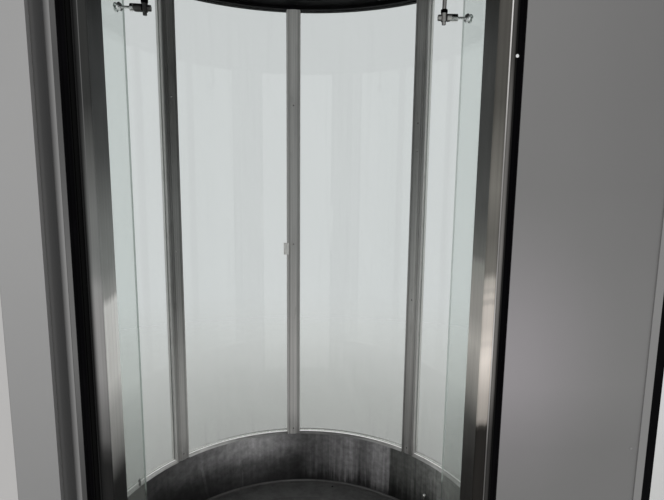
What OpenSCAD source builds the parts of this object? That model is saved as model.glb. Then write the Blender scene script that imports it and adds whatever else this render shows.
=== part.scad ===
// Round glass door drum with two curved revolving leaves, set in a flat wall casing.
// All sizes are in millimetres.
// The origin is on the drum's vertical axis, at the underside of its base.
// The doorway faces -Y and the far wall of the drum faces +Y.
// Angles round the drum are counted from the far point (+Y), positive towards +X.

/* [Drum] */
// Radius of the drum at the inner face of the kerb
drum_r = 765; // [650:5:1100]
// Thickness of the drum wall, from the inner to the outer face of the kerb
wall_t = 60; // [56:1:90]
// Clear height from the drum floor to the underside of the head ring
clear_h = 2407; // [2000:1:2900]
// Height of the kerb above the drum floor
kerb_h = 271; // [120:1:600]
// Angle from the far point to each seam of the kerb cladding
kerb_seam = 37; // [25:1:60]
// Thickness of the sheet that clads the kerb and the posts
sheet_t = 3; // [1.5:0.5:5]

/* [Floor] */
// Thickness of the steel base plate
base_t = 8; // [5:1:20]
// Thickness of the floor finish on the base plate
finish_t = 12; // [10:1:30]
// Width of the moulding at the foot of the kerb
foot_w = 11; // [6:1:12]

/* [Glazing] */
// Thickness of the fixed curved panes
pane_t = 10; // [6:1:14]
// Distance of the fixed panes from the inner face of the kerb
pane_set = 25; // [22:1:30]
// Width of a mullion
mull_w = 62; // [50:1:90]
// Depth of a mullion, along the drum's radius
mull_d = 52; // [48:1:54]
// Distance of a mullion's face from the inner face of the kerb
mull_set = 3; // [2:0.5:5]
// Width of the raised strip down a mullion's face
strip_w = 26; // [16:1:34]
// Height of the glazing bead above the kerb
bead_h = 6; // [5:1:30]
// Angle from the far point to the middle of the back mullion
back_turn = -1.3; // [-4:0.05:4]
// Height above the drum floor of the joint in the back right mullion
mull_joint = 1806; // [300:1:2300]

/* [Head] */
// Height of the head ring
head_h = 60; // [40:1:90]
// Height of the canopy above the underside of the head ring
canopy_h = 250; // [180:5:500]
// Rise of the ceiling above the underside of the head ring
ceiling_rise = 13; // [10:1:20]
// Overhang of the canopy's top sheet past the drum wall
top_lip = 8; // [4:1:20]

/* [Doorway] */
// Clear width between the jambs
door_w = 800; // [600:5:950]
// Width of a jamb's front face
jamb_w = 28; // [20:1:50]
// Depth of a jamb's reveal
jamb_d = 82; // [60:1:120]
// Width of the seal beside a jamb, with its round strip
seal_w = 29; // [24:1:45]

/* [Casing] */
// Distance from the seal to the edge strip
panel_w = 330; // [250:5:600]
// Depth of a casing panel, front to back
panel_d = 45; // [30:1:50]
// Width of the edge strip
edge_w = 19; // [12:1:40]
// Width of the outer gasket
gasket_w = 25; // [10:1:40]
// Width of the left trim's flat lip
lip_w = 10; // [8:1:30]
// Width of the left trim's rounded shoulder
shoulder_w = 16; // [6:1:24]
// Width of the left trim's sunk channel
channel_w = 29; // [15:1:45]
// Width of the left panel between its trim and its joint
joint_w = 88; // [60:1:110]

/* [Leaves] */
// Thickness of a curved leaf
leaf_t = 10; // [8:1:14]
// Gap between a leaf and the inner face of the kerb
leaf_gap = 20; // [16:1:30]
// Angle that a leaf covers
leaf_deg = 45; // [38:1:50]
// Angle from the far point to the rear edge of a parked leaf
park_deg = 63.6; // [55:0.1:72]
// Distance from a leaf's inner face to the circle of its rods and tracks
track_set = 82; // [60:1:120]
// Diameter of a hanger rod
rod_d = 16; // [12:1:20]
// Distance from the underside of the head ring down to the hanger clamps
clamp_drop = 150; // [80:1:400]
// Angle from a leaf's rear edge back to its rear hanger
rear_lead = 1.6; // [0:0.1:6]
// Distance that a hanger rod runs on below its clamp
rod_tail = 27; // [20:1:60]
// Diameter of a glass clamp's discs
disc_d = 34; // [26:1:44]
// Height of the floor guides' ball above the drum floor
ball_z = 212; // [120:1:260]
// Height of the floor guides' arm above the drum floor
guide_z = 62; // [40:1:100]

/* [Hidden] */

// Facets of a full ring and of a small round, where a mesh is drawn
ring_fn = 240;
small_fn = 48;
// Overshoot of a cutting shape
cut = 1;
// Gap between curved faces that sit together
seat = 0.3;
// Angle of one bay: eight bays to the circle, with the front one left open
bay = 45;
last_bay = 3 * bay;
// Angles of the mullions, from the left of the doorway round to its right
mullion_angles = [-last_bay, -2 * bay, -bay, back_turn, bay, 2 * bay, last_bay];

// Heights
floor_z = base_t + finish_t;
kerb_z = floor_z + kerb_h;
head_z = floor_z + clear_h;
ceiling_z = head_z + ceiling_rise;
canopy_z = head_z + canopy_h;
top_t = 3;
top_z = canopy_z + top_t;

// Radii
outer_r = drum_r + wall_t;
pane_ri = drum_r + pane_set;
pane_ro = pane_ri + pane_t;
mull_ri = drum_r + mull_set;
leaf_ro = drum_r - leaf_gap;
leaf_ri = leaf_ro - leaf_t;
track_r = leaf_ri - track_set;

// Mullion section
strip_t = 3;
mull_wall = 3;
slot_d = 12;
slot_gap = 0.4;
edge_gap = 1;
bead_floor = 3;
slot_x = mull_w / 2 - slot_d;
core_w = 2 * (slot_x - mull_wall);
groove_w = 2;
groove_d = 1.5;
groove_x = (mull_w / 2 + strip_w / 2) / 2;
joint_cut = 0.8;
joint_h = 1;
pane_edge_deg = asin((slot_x + edge_gap) / pane_ro);
head_slot = 14;

// Head ring and ceiling
ledge_w = 10;
ceiling_t = 3;
fascia_t = 2;
fascia_flange = 35;
fascia_joint_w = 3;
fascia_joint_d = 1;

// Doorway and casing places
half_door = door_w / 2;
jamb_clear = 2;
jamb_back = -round(sqrt(pow(drum_r + jamb_clear, 2) - pow(half_door, 2)));
front_y = jamb_back - jamb_d;
panel_back = front_y + panel_d;
jamb_x = half_door + jamb_w;
seal_x = jamb_x + seal_w;
seal_set = 2;
seal_lip = 3;
round_w = 12;
post_set = 2;
edge_x = seal_x + panel_w;
gasket_x = edge_x + edge_w;
side_x = gasket_x + gasket_w;
skin_t = 2;
jamb_t = 1.5;
trim_w = lip_w + shoulder_w + channel_w;
trim_x = seal_x + trim_w;
joint_x = trim_x + joint_w;
joint_gap = 0.5;
channel_sink = 14;
shoulder_sink = 8;
trim_line = 1;
edge_proud = 3;

// Tracks
track_w = 50;
track_h = 58;
track_wall = 4;
track_slot = rod_d + 10;
truck_w = 18;
truck_h = 30;
truck_lift = 6;
truck_deg = 6;
wheel_d = 22;
wheel_t = 4;
wheel_set = 0.5;
wheel_deg = 2;
axle_d = 6;
groove_half = 8;
floor_groove_d = 9;
shoe_d = 10;
track_end = 14;
border_line = 46;

// Stop beside the left leaf's rear edge
stop_d = 9;
stop_h = 33;
stop_r = drum_r + pane_set / 3;

// Leaf fittings
leaf_rise = 12;
leaf_head_gap = 8;
leaf_z0 = floor_z + leaf_rise;
leaf_z1 = ceiling_z - leaf_head_gap;
clamp_z = head_z - clamp_drop;
guide_arm_z = floor_z + guide_z;
hole_d = 16;
bolt_d = hole_d - 2 * seat;
disc_t = 5;
disc_set = 0.5;
clamp_in = 2.2;
front_in = 3.2;
rear_rod_a = park_deg - rear_lead;
rear_clamp_a = park_deg + clamp_in;
front_a = park_deg + leaf_deg - front_in;
arm_d = 10;
ball_d = 16;
stem_d = 9;
drum_clamp_d = 30;
drum_clamp_l = 44;
knob_d = 24;
knob_l = 14;
barrel_d = rod_d + 8;
clamp_set = barrel_d / 2 - 2;
barrel_up = 18;
barrel_down = 15;
sleeve_h = 18;
collar_d = 20;
collar_h = 4;
collar_lift = 5;
bevel = 1.5;

// A place on the plan, from an angle and a radius
function at(a, r) = [r * sin(a), r * cos(a)];

// Puts its children at an angle round the drum, with their +Y outwards
module place(a) {
  rotate([0, 0, -a]) children();
}

// Sweeps a section, drawn as radius and height, from one angle to another
module sweep(a1, a2) {
  rotate([0, 0, 90 - a2]) rotate_extrude(angle = a2 - a1, $fn = ring_fn) children();
}

// A rectangle between two radii and two heights
module ring_section(r1, r2, z1, z2) {
  translate([r1, z1]) square([r2 - r1, z2 - z1]);
}

// A full ring between two radii and two heights
module ring(r1, r2, z1, z2) {
  rotate_extrude($fn = ring_fn) ring_section(r1, r2, z1, z2);
}

// A box from its lowest corner to its highest
module block(a, b) {
  translate(a) cube(b - a);
}

// The space that a mullion's body takes up, used to cut what meets it
module mullion_room(a, z1, z2) {
  place(a) block([-mull_w / 2, mull_ri - wall_t, z1], [mull_w / 2, outer_r + wall_t, z2]);
}

// Everything past the doorway side of the last mullion on the right
module past_last_mullion(z1, z2) {
  place(last_bay) block([mull_w / 2, 0, z1], [2 * outer_r, 2 * outer_r, z2]);
}

// Floor
module base_plate() {
  color("dimgray") {
    cylinder(h = base_t, r = outer_r, $fn = ring_fn);
    block([-seal_x, front_y, 0], [seal_x, jamb_back, base_t]);
  }
}

module floor_disc() {
  color("darkslategray") translate([0, 0, base_t])
    cylinder(h = finish_t, r = track_r - track_w / 2 - seat, $fn = ring_fn);
}

module floor_track() {
  color("gray") difference() {
    ring(track_r - track_w / 2, track_r + track_w / 2, base_t, floor_z);
    floor_groove();
  }
}

// The groove runs where the guides run, and stops short of the drum's far side
module floor_groove() {
  sweep(rear_rod_a - track_end, 360 - rear_rod_a + track_end)
    ring_section(track_r - groove_half, track_r + groove_half, floor_z - floor_groove_d, floor_z + cut);
}

// A ring with a fine groove round it
module floor_border() {
  line_r = drum_r - border_line;
  color("dimgray") rotate_extrude($fn = ring_fn) difference() {
    ring_section(track_r + track_w / 2 + seat, drum_r - seat, base_t, floor_z);
    ring_section(line_r, line_r + groove_w, floor_z - groove_d, floor_z + cut);
  }
}

// A ribbed arc across the doorway, between the floor's border and the rim of the base plate
module threshold() {
  side = half_door - seat;
  color("silver") intersection() {
    sweep(180 - bay, 180 + bay) threshold_section();
    block([-side, -outer_r - cut, 0], [side, jamb_back, floor_z + cut]);
  }
}

module threshold_section() {
  nose_w = 14;
  nose_h = 3;
  rib_w = 4;
  rib_d = 1.5;
  difference() {
    polygon([[drum_r, base_t], [outer_r, base_t], [outer_r, base_t + nose_h],
      [outer_r - nose_w, floor_z], [drum_r, floor_z]]);
    for (r = [drum_r + 2 * rib_w : 2 * rib_w : outer_r - nose_w - 2 * rib_w])
      ring_section(r, r + rib_w, floor_z - rib_d, floor_z + cut);
  }
}

module kerb_foot_moulding() {
  color("darkgray") difference() {
    sweep(-last_bay - bay / 4, last_bay + bay / 4) foot_section();
    past_last_mullion(0, kerb_z);
    mirror([1, 0, 0]) past_last_mullion(0, kerb_z);
  }
}

// A quarter hollow against the kerb, with a small flat at its foot and its top
module foot_section() {
  foot_flat = 2;
  difference() {
    translate([drum_r - seat - foot_w, floor_z]) square([foot_w, foot_w]);
    translate([drum_r - seat - foot_w, floor_z + foot_w]) circle(r = foot_w - foot_flat, $fn = small_fn);
  }
}

// Kerb
module kerb_section() {
  difference() {
    ring_section(drum_r, outer_r, base_t, kerb_z);
    ring_section(drum_r + sheet_t, outer_r - sheet_t, base_t - cut, kerb_z - sheet_t);
  }
}

module kerb_back() {
  color("dimgray") sweep(-kerb_seam, kerb_seam) kerb_section();
}

module kerb_right() {
  color("dimgray") difference() {
    sweep(kerb_seam, last_bay + bay / 4) kerb_section();
    past_last_mullion(0, kerb_z + cut);
  }
}

module kerb_left() {
  mirror([1, 0, 0]) kerb_right();
}

// Glazing beads: one between each pair of mullions
// Each is a thin ledge on the kerb that ends in a low bead, with a groove for the pane
module bead_section() {
  ledge_t = 1.5;
  ledge_rise = 2.5;
  ledge_in = mull_set - 1;
  bead_t = 7;
  lean = 2;
  slope = 6;
  difference() {
    polygon([
      [drum_r + ledge_in, kerb_z], [drum_r + ledge_in, kerb_z + ledge_t],
      [pane_ri - slot_gap - bead_t, kerb_z + ledge_rise],
      [pane_ri - slot_gap - bead_t + lean, kerb_z + bead_h],
      [outer_r - slope, kerb_z + bead_h], [outer_r - lean, kerb_z + bead_floor],
      [outer_r - lean, kerb_z]
    ]);
    ring_section(pane_ri - slot_gap, pane_ro + slot_gap, kerb_z + bead_floor, kerb_z + bead_h + cut);
  }
}

module glazing_beads() {
  color("silver") difference() {
    sweep(-last_bay, last_bay) bead_section();
    for (a = mullion_angles) mullion_room(a, kerb_z - cut, kerb_z + bead_h + cut);
    stop_pin(stop_d + 2 * seat, bead_h + cut);
  }
}

// Mullions
module mullion_section(slot_left, slot_right) {
  difference() {
    union() {
      translate([-mull_w / 2, mull_ri + strip_t]) square([mull_w, mull_d - strip_t]);
      translate([-strip_w / 2, mull_ri]) square([strip_w, strip_t + cut]);
    }
    for (s = [-1, 1])
      translate([s * groove_x - groove_w / 2, mull_ri + strip_t - cut]) square([groove_w, groove_d + cut]);
    translate([-core_w / 2, mull_ri + strip_t + mull_wall])
      square([core_w, mull_d - strip_t - 2 * mull_wall]);
    if (slot_left) pane_slot(-1);
    if (slot_right) pane_slot(1);
  }
}

// The slot that a pane's edge sits in, on one side of a mullion
module pane_slot(s) {
  intersection() {
    difference() {
      circle(r = pane_ro + slot_gap, $fn = ring_fn);
      circle(r = pane_ri - slot_gap, $fn = ring_fn);
    }
    translate([s > 0 ? slot_x : -slot_x - mull_w, pane_ri - wall_t]) square([mull_w, 2 * wall_t]);
  }
}

module mullion(a, slot_left = true, slot_right = true) {
  color("silver") place(a) translate([0, 0, kerb_z])
    linear_extrude(head_z - kerb_z) mullion_section(slot_left, slot_right);
}

// The back right mullion is in two lengths, with a fine joint across its face
module mullion_back_right() {
  z = floor_z + mull_joint;
  difference() {
    mullion(bay);
    place(bay) block([-mull_w / 2 - cut, mull_ri - cut, z],
      [mull_w / 2 + cut, mull_ri + strip_t + joint_cut, z + joint_h]);
  }
}

module mullion_front_right() {
  mullion(last_bay, true, false);
}

module mullion_front_left() {
  mullion(-last_bay, false, true);
}

// Fixed panes
// The bays are counted from the left of the doorway
module pane(i) {
  color("lightcyan", 0.35) sweep(mullion_angles[i] + pane_edge_deg, mullion_angles[i + 1] - pane_edge_deg)
    ring_section(pane_ri, pane_ro, kerb_z + bead_floor + seat, head_z + head_slot - edge_gap);
}

// Head
// A hollow ring of box section, with a ledge inside for the ceiling and a groove below for the panes
module head_ring() {
  color("black") difference() {
    ring(drum_r, outer_r, head_z, head_z + head_h);
    ring(drum_r - cut, drum_r + ledge_w, ceiling_z, head_z + head_h + cut);
    ring(drum_r + ledge_w + sheet_t, outer_r - sheet_t,
      head_z + head_slot + sheet_t, head_z + head_h - sheet_t);
    sweep(-last_bay, last_bay)
      ring_section(pane_ri - slot_gap, pane_ro + slot_gap, head_z - cut, head_z + head_slot);
  }
}

module ceiling_disc() {
  color("black") translate([0, 0, ceiling_z])
    cylinder(h = ceiling_t, r = track_r - track_w / 2 - seat, $fn = ring_fn);
}

module ceiling_border() {
  color("black")
    ring(track_r + track_w / 2 + seat, drum_r + ledge_w - seat, ceiling_z, ceiling_z + ceiling_t);
}

// A downward channel with a slot between its lips, and a flange under each side of the ceiling
module ceiling_track() {
  track_z0 = ceiling_z - track_wall;
  track_z1 = track_z0 + track_h;
  flange = 8;
  color("dimgray") rotate_extrude($fn = ring_fn) difference() {
    union() {
      ring_section(track_r - track_w / 2, track_r + track_w / 2, track_z0, track_z1);
      ring_section(track_r - track_w / 2 - flange, track_r + track_w / 2 + flange, track_z0, ceiling_z);
    }
    ring_section(track_r - track_w / 2 + track_wall, track_r + track_w / 2 - track_wall,
      track_z0 + track_wall, track_z1 - track_wall);
    ring_section(track_r - track_slot / 2, track_r + track_slot / 2,
      track_z0 - cut, track_z0 + track_wall + cut);
  }
}

// An outward facing channel of sheet: a wall with a flange inwards at its foot and its top,
// and a joint line down the wall above each mullion
module canopy_fascia() {
  color("gray") difference() {
    rotate_extrude($fn = ring_fn) difference() {
      ring_section(outer_r - fascia_flange, outer_r, head_z + head_h, canopy_z);
      ring_section(outer_r - fascia_flange - cut, outer_r - fascia_t,
        head_z + head_h + fascia_t, canopy_z - fascia_t);
    }
    for (i = [-3:4]) place(i * bay)
      block([-fascia_joint_w / 2, outer_r - fascia_joint_d, head_z + head_h - cut],
        [fascia_joint_w / 2, outer_r + cut, canopy_z + cut]);
  }
}

module canopy_top() {
  lip_h = 18;
  color("gray") difference() {
    translate([0, 0, canopy_z - lip_h]) cylinder(h = lip_h + top_t, r = outer_r + top_lip, $fn = ring_fn);
    translate([0, 0, canopy_z - lip_h - cut])
      cylinder(h = lip_h + cut, r = outer_r + top_lip - top_t, $fn = ring_fn);
    for (s = [-1, 1]) mirror([s > 0 ? 0 : 1, 0, 0]) top_sheet_notch(lip_h);
  }
}

// The top sheet stops at the back of the casing and of the cheeks
module top_sheet_notch(lip_h) {
  block([half_door - seat, front_y - outer_r, canopy_z - lip_h - cut],
    [outer_r, panel_back + seat, top_z + cut]);
}

// Jambs and posts
// A box section with a bevelled nose at the doorway and a narrow raised edge along its outer side
module jamb_right() {
  nose = 2;
  rim_w = 4;
  rim_t = 2;
  color("silver") translate([0, 0, base_t]) linear_extrude(head_z - base_t) difference() {
    polygon([[half_door + nose, front_y], [jamb_x - rim_w, front_y],
      [jamb_x - rim_w + rim_t / 2, front_y - rim_t], [jamb_x - rim_t / 2, front_y - rim_t],
      [jamb_x, front_y - rim_t / 2], [jamb_x, jamb_back],
      [half_door, jamb_back], [half_door, front_y + nose]]);
    translate([half_door + jamb_t, front_y + jamb_t]) square([jamb_w - 2 * jamb_t, jamb_d - 2 * jamb_t]);
  }
}

module jamb_left() {
  mirror([1, 0, 0]) jamb_right();
}

// The outline of the post between the jamb and the last mullion, drawn in by an inset
module post_outline(inset) {
  difference() {
    intersection() {
      circle(r = outer_r - inset, $fn = ring_fn);
      translate([half_door + post_set + inset, panel_back + inset]) square([outer_r, outer_r]);
      rotate(-last_bay) translate([mull_w / 2 + inset, 0]) square(2 * outer_r);
    }
    circle(r = drum_r + inset, $fn = ring_fn);
    translate([half_door - outer_r + jamb_w + inset, jamb_back - outer_r + inset]) square(outer_r);
  }
}

module jamb_post_right() {
  color("silver") translate([0, 0, base_t]) linear_extrude(head_z - base_t) difference() {
    post_outline(0);
    post_outline(sheet_t);
  }
}

module jamb_post_left() {
  mirror([1, 0, 0]) jamb_post_right();
}

// A strip with a round front beside the jamb, then a flat seal with a lip along each side
module jamb_seals() {
  color("black") for (s = [0, 1]) mirror([s, 0, 0]) translate([0, 0, base_t])
    linear_extrude(head_z - base_t) {
      translate([jamb_x + round_w / 2, front_y + round_w / 2]) circle(d = round_w, $fn = small_fn);
      translate([jamb_x, front_y + round_w / 2]) square([round_w, panel_d - round_w / 2]);
      flat_seal();
    }
}

module flat_seal() {
  x1 = jamb_x + round_w;
  y1 = front_y + seal_set;
  polygon([[x1, y1], [x1 + seal_lip, y1], [x1 + 2 * seal_lip, y1 + seal_lip],
    [seal_x - 2 * seal_lip, y1 + seal_lip], [seal_x - seal_lip, y1], [seal_x, y1],
    [seal_x, panel_back], [x1, panel_back]]);
}

// Cheeks that close the corners between the round head and the flat casing
module head_cheeks() {
  color("silver") for (s = [0, 1]) mirror([s, 0, 0]) difference() {
    block([half_door, front_y, head_z], [seal_x, panel_back, canopy_z]);
    translate([0, 0, head_z - cut]) cylinder(h = canopy_h + 2 * cut, r = outer_r + seat, $fn = ring_fn);
  }
}

// Casing
// The room that the casing leaves for the drum, drawn out by an inset
module drum_room(inset) {
  translate([0, 0, -cut]) cylinder(h = top_z + 2 * cut, r = outer_r + seat + inset, $fn = ring_fn);
}

// A closed box of thin sheet, as a clad panel is, with its back cut to clear the drum
module clad_box(a, b) {
  difference() {
    block(a, b);
    drum_room(0);
    difference() {
      block(a + [skin_t, skin_t, skin_t], b - [skin_t, skin_t, skin_t]);
      drum_room(skin_t);
    }
  }
}

module casing_panel_right() {
  color("gainsboro") clad_box([seal_x, front_y, 0], [edge_x, panel_back, top_z]);
}

module casing_panel_left() {
  color("gainsboro") clad_box([-joint_x, front_y, 0], [-trim_x, panel_back, top_z]);
}

module casing_side_panel_left() {
  color("whitesmoke") clad_box([-edge_x, front_y, 0], [-joint_x - joint_gap, panel_back, top_z]);
}

// Flat lip, fine line, rounded shoulder and sunk channel beside the left seal
module casing_trim_left() {
  x1 = seal_x + lip_w;
  x2 = x1 + shoulder_w;
  step = 15;
  color("gray") mirror([1, 0, 0]) linear_extrude(top_z) difference() {
    polygon([[seal_x, front_y],
      for (t = [0:step:90]) [x1 + shoulder_w * sin(t), front_y + shoulder_sink * (1 - cos(t))],
      [x2, front_y + channel_sink], [trim_x, front_y + channel_sink], [trim_x, panel_back],
      [seal_x, panel_back]]);
    translate([x1 - trim_line, front_y - cut]) square([trim_line, trim_line + cut]);
    circle(r = outer_r + seat, $fn = ring_fn);
    difference() {
      translate([seal_x + skin_t, front_y + channel_sink + skin_t])
        square([trim_w - 2 * skin_t, panel_d - channel_sink - 2 * skin_t]);
      circle(r = outer_r + seat + skin_t, $fn = ring_fn);
    }
  }
}

module casing_edge_strips() {
  color("silver") for (s = [0, 1]) mirror([s, 0, 0]) linear_extrude(top_z) difference() {
    translate([edge_x, front_y - edge_proud]) square([edge_w, panel_d + edge_proud]);
    translate([edge_x + skin_t, front_y - edge_proud + skin_t])
      square([edge_w - 2 * skin_t, panel_d + edge_proud - 2 * skin_t]);
  }
}

module casing_gaskets() {
  color("black") for (s = [0, 1]) mirror([s, 0, 0])
    block([gasket_x, front_y + seal_set, 0], [side_x, panel_back - seal_set, top_z]);
}

// Small parts on the drum
module sensor_box() {
  box_out = 18;
  box_lap = 8;
  box_h = 58;
  box_d = 15;
  box_z = 1240;
  edge = 2;
  face = mull_ri + strip_t;
  x1 = -mull_w / 2 - box_out;
  x2 = -mull_w / 2 + box_lap;
  color("lightgray") place(back_turn) translate([0, 0, floor_z + box_z]) linear_extrude(box_h)
    polygon([[x1, face], [x1, face - box_d + edge], [x1 + edge, face - box_d],
      [x2 - edge, face - box_d], [x2, face - box_d + edge], [x2, face]]);
}

module leaf_stop() {
  color("black") stop_pin(stop_d, stop_h);
}

// A round pin on the kerb where the left leaf's rear edge parks
module stop_pin(d, h) {
  place(-park_deg) translate([0, stop_r, kerb_z]) cylinder(h = h, d = d, $fn = small_fn);
}

// Leaves
// The clamp's bolt hole, along the drum's radius
module clamp_hole(a, z) {
  place(a) translate([0, leaf_ri - leaf_t, z]) rotate([-90, 0, 0])
    cylinder(h = 3 * leaf_t, d = hole_d, $fn = small_fn);
}

// A leaf's thickness and height, with its top and bottom edges bevelled
module leaf_section() {
  polygon([[leaf_ri + bevel, leaf_z0], [leaf_ro - bevel, leaf_z0], [leaf_ro, leaf_z0 + bevel],
    [leaf_ro, leaf_z1 - bevel], [leaf_ro - bevel, leaf_z1], [leaf_ri + bevel, leaf_z1],
    [leaf_ri, leaf_z1 - bevel], [leaf_ri, leaf_z0 + bevel]]);
}

module leaf_glass_right() {
  color("lightcyan", 0.35) difference() {
    sweep(park_deg, park_deg + leaf_deg) leaf_section();
    for (a = [rear_clamp_a, front_a]) {
      for (z = [clamp_z, guide_arm_z]) clamp_hole(a, z);
    }
  }
}

// A turned disc on each side of the glass, and the bolt that joins them
module glass_clamp(a, z) {
  place(a) translate([0, 0, z]) rotate([-90, 0, 0]) {
    turned_bar(leaf_ri - disc_set - disc_t, leaf_ri - disc_set, disc_d);
    translate([0, 0, leaf_ri - disc_set - cut])
      cylinder(h = leaf_t + 2 * disc_set + 2 * cut, d = bolt_d, $fn = small_fn);
    turned_bar(leaf_ro + disc_set, leaf_ro + disc_set + disc_t, disc_d);
  }
}

// Lays its children, drawn along +Z, level at one plan point and points them at another
module towards(p, q) {
  v = q - p;
  translate([p.x, p.y, 0]) rotate([0, 0, atan2(v.y, v.x)]) rotate([0, 90, 0]) children();
}

// A turned bar along +Z, bevelled at both ends
module turned_bar(from, to, d) {
  h = to - from;
  translate([0, 0, from]) rotate_extrude($fn = small_fn)
    polygon([[0, 0], [d / 2 - bevel, 0], [d / 2, bevel], [d / 2, h - bevel], [d / 2 - bevel, h], [0, h]]);
}

// Carriage with four wheels that stand on the lips of the ceiling track
module truck(a) {
  z = ceiling_z + seat;
  wheel_r = track_slot / 2 + wheel_set;
  sweep(a - truck_deg / 2, a + truck_deg / 2)
    ring_section(track_r - truck_w / 2, track_r + truck_w / 2, z + truck_lift, z + truck_h);
  for (s = [-1, 1]) place(a + s * wheel_deg) translate([0, track_r, z + wheel_d / 2]) rotate([-90, 0, 0]) {
    translate([0, 0, -wheel_r - wheel_t]) cylinder(h = 2 * (wheel_r + wheel_t), d = axle_d, $fn = small_fn);
    for (from = [-wheel_r - wheel_t, wheel_r])
      translate([0, 0, from]) cylinder(h = wheel_t, d = wheel_d, $fn = small_fn);
  }
}

// Truck in the ceiling track, rod, cross clamp with its barrel and knob, arm and glass clamp
module hanger(rod_a, glass_a) {
  p = at(rod_a, track_r);
  q = at(glass_a, leaf_ri - disc_set - disc_t / 2);
  reach = norm(q - p);
  z = clamp_z;
  truck(rod_a);
  translate([p.x, p.y, z]) {
    turned_bar(-rod_tail, ceiling_z + seat + truck_h / 2 - z, rod_d);
    turned_bar(-barrel_down, barrel_up, barrel_d);
  }
  translate([0, 0, z]) towards(p, q) {
    cylinder(h = reach, d = arm_d, $fn = small_fn);
    turned_bar(clamp_set, min(reach - disc_t, clamp_set + drum_clamp_l), drum_clamp_d);
    turned_bar(-clamp_set - knob_l, -clamp_set, knob_d);
  }
  glass_clamp(glass_a, z);
}

// Shoe in the floor groove, stem with a collar and a ball top, sleeve, arm and glass clamp
module guide(rod_a, glass_a) {
  p = at(rod_a, track_r);
  q = at(glass_a, leaf_ri - disc_set - disc_t / 2);
  shoe_z = floor_z - floor_groove_d + cut;
  ball_top = floor_z + ball_z;
  translate([p.x, p.y, 0]) {
    translate([0, 0, shoe_z]) cylinder(h = floor_groove_d, d = shoe_d, $fn = small_fn);
    translate([0, 0, shoe_z]) cylinder(h = ball_top - ball_d / 2 - shoe_z, d = stem_d, $fn = small_fn);
    translate([0, 0, ball_top - ball_d / 2]) sphere(d = ball_d, $fn = small_fn);
    translate([0, 0, floor_z + collar_lift]) turned_bar(0, collar_h, collar_d);
    translate([0, 0, guide_arm_z]) turned_bar(-sleeve_h / 2, sleeve_h / 2, rod_d);
  }
  translate([0, 0, guide_arm_z]) towards(p, q) cylinder(h = norm(q - p), d = arm_d, $fn = small_fn);
  glass_clamp(glass_a, guide_arm_z);
}

module leaf_hangers_right() {
  color("darkgray") {
    hanger(rear_rod_a, rear_clamp_a);
    hanger(front_a, front_a);
  }
}

module leaf_guides_right() {
  color("silver") {
    guide(rear_rod_a, rear_clamp_a);
    guide(front_a, front_a);
  }
}

module leaf_glass_left() {
  mirror([1, 0, 0]) leaf_glass_right();
}

module leaf_hangers_left() {
  mirror([1, 0, 0]) leaf_hangers_right();
}

module leaf_guides_left() {
  mirror([1, 0, 0]) leaf_guides_right();
}

base_plate();
floor_disc();
floor_track();
floor_border();
threshold();
kerb_foot_moulding();
kerb_back();
kerb_left();
kerb_right();
glazing_beads();
mullion(back_turn);  // mullion_back
mullion(-bay);  // mullion_back_left
mullion_back_right();
mullion(-2 * bay);  // mullion_side_left
mullion(2 * bay);  // mullion_side_right
mullion_front_left();
mullion_front_right();
pane(2);  // pane_back_left
pane(3);  // pane_back_right
pane(1);  // pane_side_left
pane(4);  // pane_side_right
pane(0);  // pane_front_left
pane(5);  // pane_front_right
head_ring();
ceiling_disc();
ceiling_border();
ceiling_track();
canopy_fascia();
canopy_top();
jamb_left();
jamb_right();
jamb_post_left();
jamb_post_right();
jamb_seals();
head_cheeks();
casing_panel_left();
casing_side_panel_left();
casing_panel_right();
casing_trim_left();
casing_edge_strips();
casing_gaskets();
sensor_box();
leaf_stop();
leaf_glass_left();
leaf_hangers_left();
leaf_guides_left();
leaf_glass_right();
leaf_hangers_right();
leaf_guides_right();
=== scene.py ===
"""Looks of a round glass door drum with two curved revolving leaves, in its piece of flat wall casing.

Everything is in metres, in the CAD frame: the drum's axis is Z, the doorway faces -Y and the far wall +Y.
Angles round the drum are in degrees from the far point (+Y), positive towards +X. A length s round the drum
is such an angle in radians times a radius, so it too is 0 at the far point.
"""
import math

import bmesh
import bpy
import numpy as np
from mathutils import Matrix, Vector


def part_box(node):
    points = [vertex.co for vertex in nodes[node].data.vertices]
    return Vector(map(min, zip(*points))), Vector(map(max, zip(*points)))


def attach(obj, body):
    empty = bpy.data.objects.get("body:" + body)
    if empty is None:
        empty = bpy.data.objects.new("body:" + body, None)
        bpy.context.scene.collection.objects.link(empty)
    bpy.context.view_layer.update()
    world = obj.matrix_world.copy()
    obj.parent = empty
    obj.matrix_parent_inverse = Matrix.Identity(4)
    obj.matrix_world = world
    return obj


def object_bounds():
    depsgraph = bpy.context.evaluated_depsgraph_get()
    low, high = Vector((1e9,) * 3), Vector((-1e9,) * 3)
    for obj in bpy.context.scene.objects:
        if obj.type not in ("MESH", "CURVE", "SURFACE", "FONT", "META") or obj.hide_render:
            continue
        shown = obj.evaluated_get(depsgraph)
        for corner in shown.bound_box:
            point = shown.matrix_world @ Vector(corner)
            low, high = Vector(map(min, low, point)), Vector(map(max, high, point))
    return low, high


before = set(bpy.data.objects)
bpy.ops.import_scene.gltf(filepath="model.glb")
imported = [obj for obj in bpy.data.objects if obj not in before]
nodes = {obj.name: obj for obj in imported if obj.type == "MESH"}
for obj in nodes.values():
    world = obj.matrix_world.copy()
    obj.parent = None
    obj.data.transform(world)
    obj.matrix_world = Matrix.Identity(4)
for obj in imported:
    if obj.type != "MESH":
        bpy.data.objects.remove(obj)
cad_low, cad_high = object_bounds()


# Places read from the frame

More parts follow.
